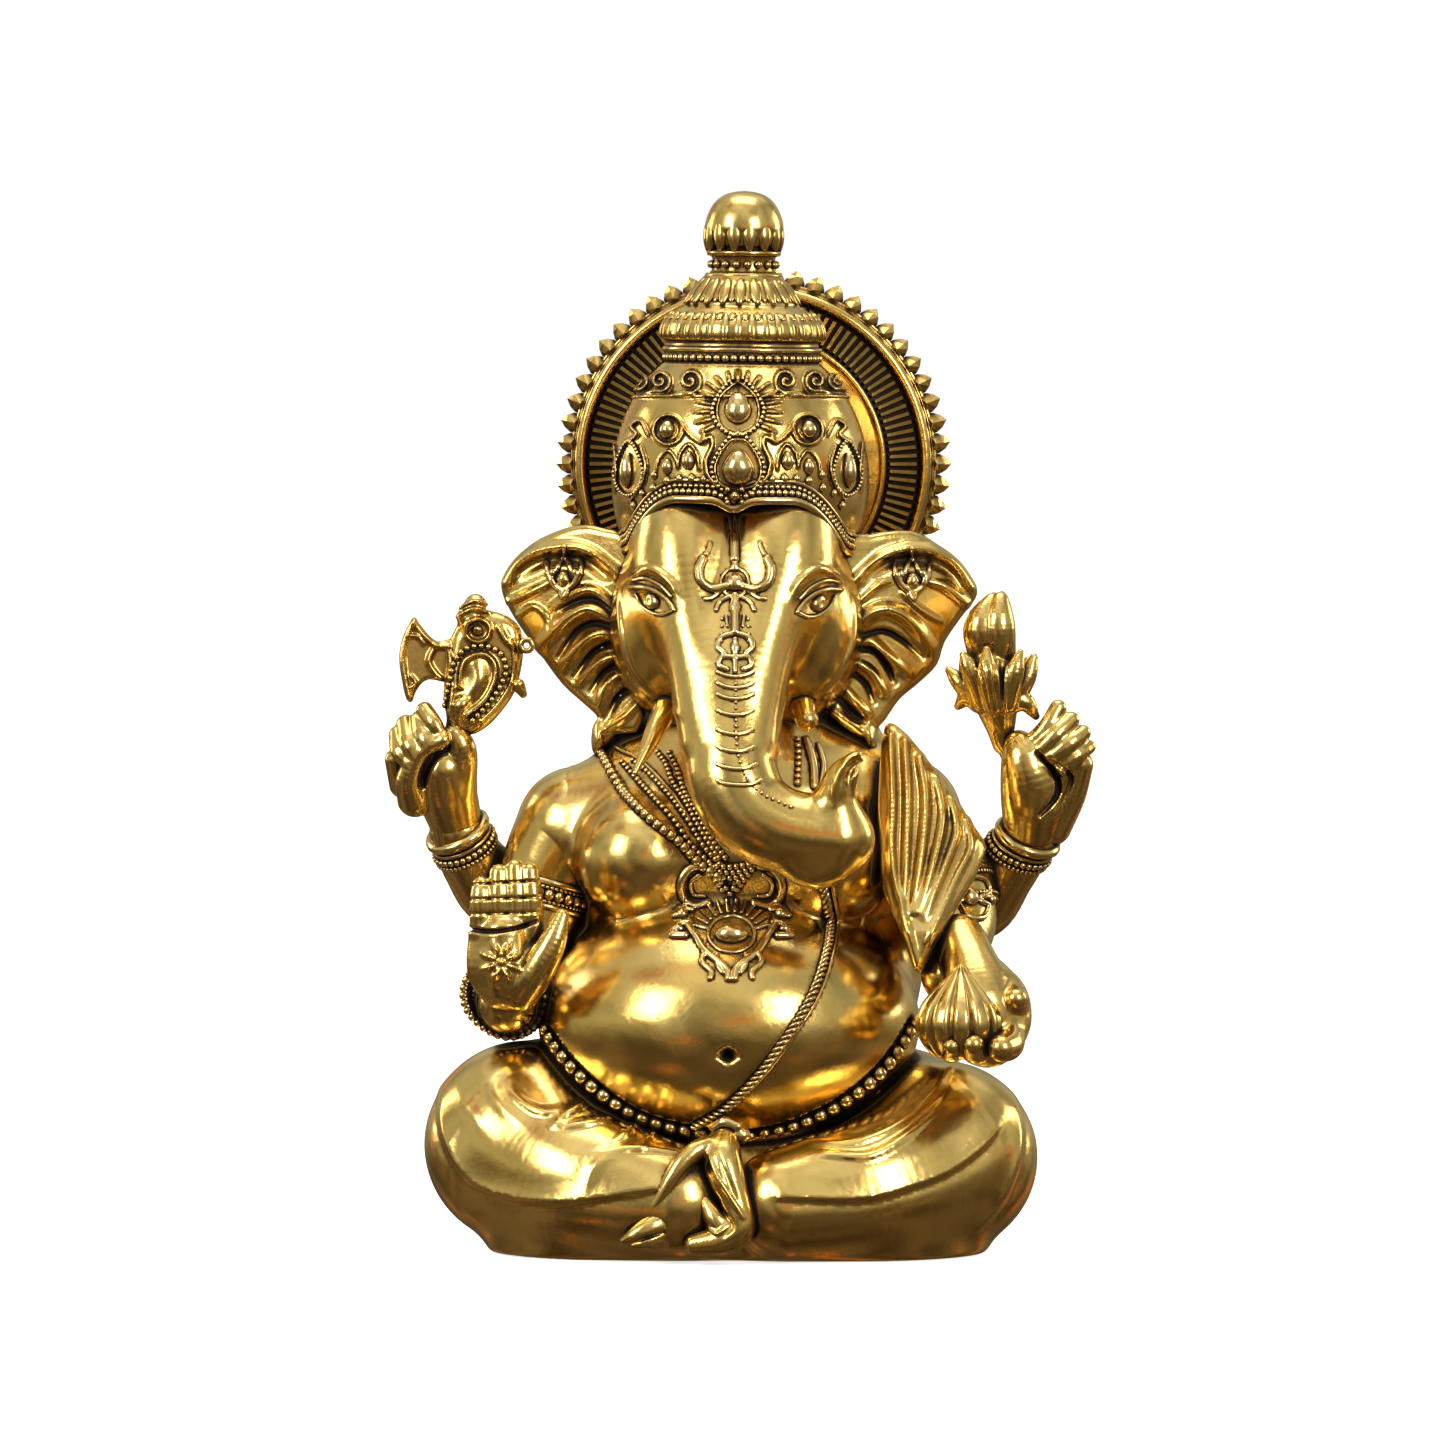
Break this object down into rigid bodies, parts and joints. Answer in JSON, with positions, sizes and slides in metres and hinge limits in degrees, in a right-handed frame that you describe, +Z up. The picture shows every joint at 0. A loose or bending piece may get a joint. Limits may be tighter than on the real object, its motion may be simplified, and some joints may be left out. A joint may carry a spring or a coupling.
{
  "type": "seated deity statue",
  "caption": "Seated elephant-headed deity in antique brass with a tall crown, halo disc, four arms, beads, axe, lotus bud and sweet.",
  "frame": {"origin": "centre of the figure's footprint box, on the surface it stands on", "axes": "+Z up towards the crown's knob; the figure faces -Y; its right hand is on -X"},
  "size_m": [0.1414, 0.0873, 0.2124],
  "materials": {
    "antique_brass": "polished, dark patina in the recesses",
    "bright_brass": "polished high relief",
    "dull_brass": "satin, lightly tarnished",
    "steel_screws": "zinc plated"
  },
  "bodies": {
    "root": {"base_plate": "dull_brass", "base_screws": "steel_screws", "base_posts": "dull_brass", "lap_casting": "antique_brass", "foot": "antique_brass", "front_cloth": "antique_brass", "torso_casting": "antique_brass", "girdle_beads": "bright_brass", "girdle_clasp": "bright_brass", "sacred_thread": "bright_brass", "necklace_strands": "bright_brass", "pendant": "bright_brass", "shawl": "antique_brass", "head_casting": "antique_brass", "trunk": "antique_brass", "right_tusk": "antique_brass", "left_tusk_stub": "antique_brass", "right_ear": "antique_brass", "left_ear": "antique_brass", "right_ear_ornament": "bright_brass", "left_ear_ornament": "bright_brass", "eyes": "bright_brass", "forehead_tilak": "bright_brass", "crown_body": "antique_brass", "brow_band": "bright_brass", "crown_bead_rows": "bright_brass", "crown_jewels": "bright_brass", "crown_tier": "antique_brass", "crown_finial": "antique_brass", "halo_disc": "antique_brass", "halo_rivets": "dull_brass", "front_right_arm": "antique_brass", "front_left_arm": "antique_brass", "rear_right_arm": "antique_brass", "rear_left_arm": "antique_brass", "front_right_hand": "antique_brass", "front_left_hand": "antique_brass", "rear_right_hand": "antique_brass", "rear_left_hand": "antique_brass", "right_armlet": "bright_brass", "left_armlet": "bright_brass", "front_right_bracelet": "bright_brass", "rear_right_bracelet": "bright_brass", "rear_left_bracelet": "bright_brass", "axe": "antique_brass", "lotus_bud": "antique_brass", "modak": "antique_brass"}
  },
  "joints": []
}
